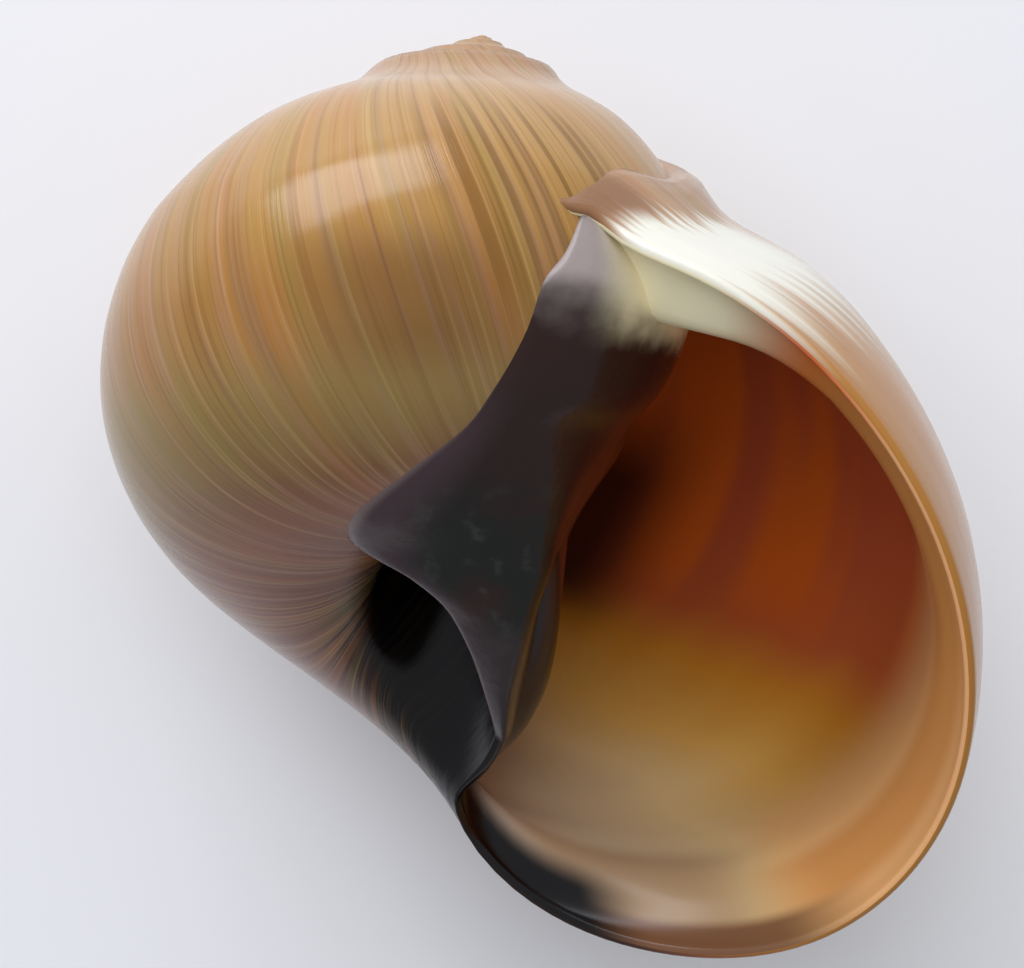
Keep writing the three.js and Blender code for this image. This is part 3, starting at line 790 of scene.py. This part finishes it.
# %% Pour the callus
def pour_callus(rows=96, columns=56):
    rails = [smooth_through([rail_point(*row[i]) for row in CALLUS], rows) for i in range(4)]
    face = np.array([smooth_through([rail[row] for rail in rails], columns) for row in range(rows)])
    down = np.gradient(face, axis=0)
    across = np.gradient(face, axis=1)
    normal = np.cross(down, across)
    normal /= np.linalg.norm(normal, axis=2, keepdims=True)
    share = np.linspace(0, 1, columns)
    dive = RIM_DIVE * (1 - np.clip(share / RIM_ROUND, 0, 1)) ** 2
    thickness = smooth_through([(t,) for t in CALLUS_THICKNESS], columns)[:, 0]
    top = face - normal * dive[None, :, None]
    taper = profile(CALLUS_TAPER, np.linspace(0, 1, rows))
    under = face - normal * (np.maximum(thickness, dive + RIM_LEAST)[None, :] * taper[:, None])[:, :, None]
    points = np.concatenate([top.reshape(-1, 3), under.reshape(-1, 3)]) * MM
    number = np.arange(rows * columns).reshape(rows, columns)
    lower = number + rows * columns
    faces = []
    for r in range(rows - 1):
        for c in range(columns - 1):
            faces.append((number[r, c], number[r + 1, c], number[r + 1, c + 1], number[r, c + 1]))
            faces.append((lower[r, c], lower[r, c + 1], lower[r + 1, c + 1], lower[r + 1, c]))
    for line, under_line in ((number[0, ::-1], lower[0, ::-1]), (number[-1], lower[-1]),
                             (number[:, 0], lower[:, 0]), (number[::-1, -1], lower[::-1, -1])):
        for a, b, c, d in zip(line[:-1], line[1:], under_line[1:], under_line[:-1]):
            faces.append((a, d, c, b))
    mesh = bpy.data.meshes.new("callus")
    mesh.from_pydata([tuple(p) for p in points], [], [[int(i) for i in f] for f in faces])
    for key, values in (("across", np.tile(share, 2 * rows)),
                        ("down", np.tile(np.repeat(np.linspace(0, 1, rows), columns), 2))):
        mesh.attributes.new(key, "FLOAT", "POINT").data.foreach_set("value", values)
    mesh.shade_smooth()
    mesh.materials.append(callus_glaze())
    lay_down(mesh)
    mesh.calc_loop_triangles()
    print("callus:", len(mesh.loop_triangles), "triangles,", round(face_outwards(mesh)), "cubic mm")
    made = bpy.data.objects.new("callus", mesh)
    bpy.context.scene.collection.objects.link(made)
    return made


callus = pour_callus()

# %% [markdown]
# ## Joining the frame
#
# The shell is one solid in the CAD model, with nothing that moves. Both pieces ride on its one body
# and stand in for its one node.

# %% Ride and replace
for piece in (whorls, callus):
    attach(piece, "root")
    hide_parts("shell")

# %% [markdown]
# ## Floor and light
#
# The shell lies on matt white paper beside a window. One large soft area light stands for the window,
# weaker ones for the bright wall and the ceiling, which give no mirror image in the gloss, and a pale
# sky fills the shadows.

# %% Stage
low, high = cad_box
centre = (low + high) / 2


def paper_floor():
    half = 1.5
    mesh = bpy.data.meshes.new("paper")
    corners = [(-half, -half, 0), (half, -half, 0), (half, half, 0), (-half, half, 0)]
    mesh.from_pydata(corners, [], [(0, 1, 2, 3)])
    made, _, shader = new_material("white_paper", roughness=0.9, ior=1.45)
    shader.inputs["Base Color"].default_value = linear("#F2F2F2")
    shader.inputs["Specular IOR Level"].default_value = 0.2
    mesh.materials.append(made)
    floor = bpy.data.objects.new("paper", mesh)
    bpy.context.scene.collection.objects.link(floor)


def soft_light(name, azimuth, elevation, distance, size, power, colour, mirrored=True):
    """A rectangular area light that looks at the shell. Azimuth 0 is +X and 90 is +Y."""
    data = bpy.data.lights.new(name, "AREA")
    data.shape = "RECTANGLE"
    data.size, data.size_y = size
    data.energy = power
    data.color = linear(colour)[:3]
    lamp = bpy.data.objects.new(name, data)
    lamp.visible_glossy = mirrored
    a, e = math.radians(azimuth), math.radians(elevation)
    way = Vector((math.cos(a) * math.cos(e), math.sin(a) * math.cos(e), math.sin(e)))
    lamp.location = centre + way * distance
    lamp.rotation_euler = way.to_track_quat("Z", "Y").to_euler()
    bpy.context.scene.collection.objects.link(lamp)


paper_floor()
soft_light("window", 112, 20, 0.5, (0.4, 0.26), 1.65, "#F4F6FF")
soft_light("bright_wall", 60, 50, 0.5, (0.4, 0.4), 0.3, "#FFFFFF", mirrored=False)
soft_light("ceiling", 122, 68, 0.42, (0.36, 0.36), 0.78, "#F8F9FF", mirrored=False)
world = bpy.data.worlds.new("pale_room")
world.use_nodes = True
world.node_tree.nodes["Background"].inputs["Color"].default_value = linear("#E9EDF6")
world.node_tree.nodes["Background"].inputs["Strength"].default_value = 0.43
bpy.context.scene.world = world
bpy.context.scene.view_settings.view_transform = "Standard"

# %% [markdown]
# ## The camera
#
# It looks straight down from a hand's breadth above the shell, so the mouth faces it. At so short a
# distance the near parts look larger than the far ones, which a longer lens from further off would lose.

# %% Camera
LENS = 76.45               # millimetres
CAMERA_PLACE = (0.6, -1.5, 102)      # millimetres from the pivot: right, up the picture, and above it
pivot = lay @ (Vector((3, 0, -20)) * MM)
camera_data = bpy.data.cameras.new("camera")
camera_data.lens = LENS
camera_data.clip_start = 0.01      # metres: the shell is nearer than the usual clipping distance
camera = bpy.data.objects.new("camera", camera_data)
camera.location = pivot + Vector(CAMERA_PLACE) * MM
bpy.context.scene.collection.objects.link(camera)
bpy.context.scene.camera = camera
